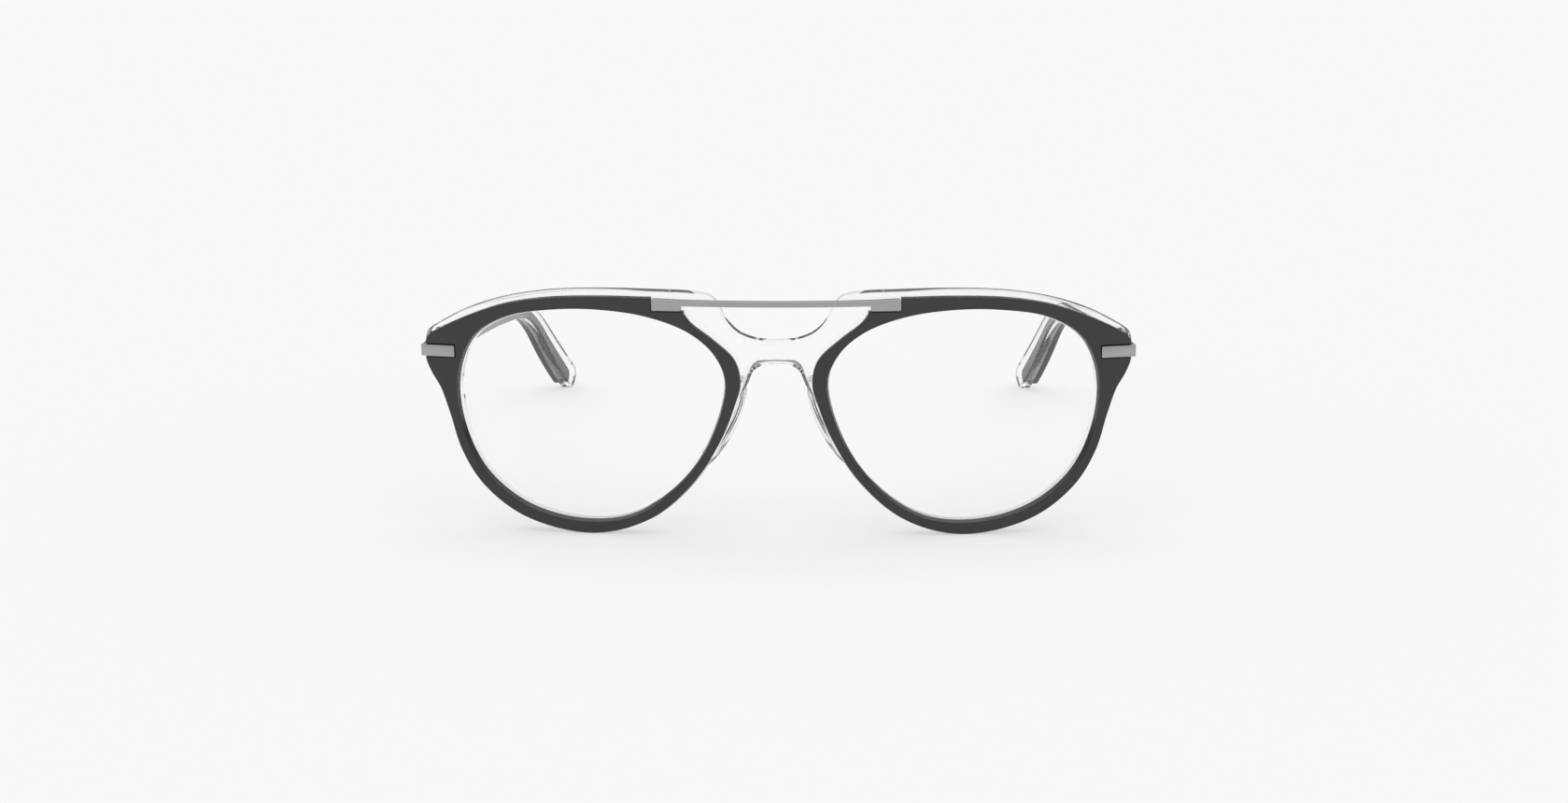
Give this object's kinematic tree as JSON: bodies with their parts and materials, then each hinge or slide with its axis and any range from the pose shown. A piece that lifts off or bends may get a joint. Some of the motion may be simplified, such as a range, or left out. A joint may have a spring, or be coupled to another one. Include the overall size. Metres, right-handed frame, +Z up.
{
  "type": "eyeglasses",
  "caption": "Laminated aviator eyeglasses: clear acetate front and arms faced with dark acetate, a metal brow bar, clear lenses, glued nose pads and folding arms.",
  "frame": {"origin": "on the table plane, midway between the arms and midway along the glasses front to back", "axes": "+X to the wearer's left, +Y back along the arms, +Z up from the table"},
  "size_m": [0.1406, 0.1464, 0.0495],
  "materials": {
    "clear_acetate": "polished clear",
    "dark_acetate": "polished near-black",
    "clear_lens": "clear demonstration lens",
    "satin_metal": "satin grey",
    "hinge_steel": "satin"
  },
  "bodies": {
    "front": {"front_crystal": "clear_acetate", "brow_bar": "satin_metal", "rim_veneer_left": "dark_acetate", "rim_veneer_right": "dark_acetate", "lens_left": "clear_lens", "lens_right": "clear_lens", "nose_pad_left": "clear_acetate", "nose_pad_right": "clear_acetate", "brow_bar_screw_left": "hinge_steel", "brow_bar_screw_right": "hinge_steel", "endpiece_trim_left": "satin_metal", "endpiece_trim_right": "satin_metal", "front_hinge_left": "hinge_steel", "front_hinge_right": "hinge_steel", "hinge_screw_left": "hinge_steel", "hinge_screw_right": "hinge_steel", "front_rivet_lower_left": "hinge_steel", "front_rivet_lower_right": "hinge_steel", "front_rivet_upper_left": "hinge_steel", "front_rivet_upper_right": "hinge_steel"},
    "left_arm": {"temple_crystal_left": "clear_acetate", "temple_veneer_left": "dark_acetate", "temple_hinge_left": "hinge_steel", "temple_rivet_front_left": "hinge_steel", "temple_rivet_rear_left": "hinge_steel"},
    "right_arm": {"temple_crystal_right": "clear_acetate", "temple_veneer_right": "dark_acetate", "temple_hinge_right": "hinge_steel", "temple_rivet_front_right": "hinge_steel", "temple_rivet_rear_right": "hinge_steel"}
  },
  "joints": [
    {"name": "left_arm_fold", "type": "hinge", "parent": "front", "child": "left_arm", "pos_m": [0.0638, -0.05783, 0.03719], "axis": [0, 0.1121, 0.9937], "range_deg": [0, 86]},
    {"name": "right_arm_fold", "type": "hinge", "parent": "front", "child": "right_arm", "pos_m": [-0.0638, -0.05783, 0.03719], "axis": [0, -0.1121, -0.9937], "range_deg": [0, 70]}
  ]
}
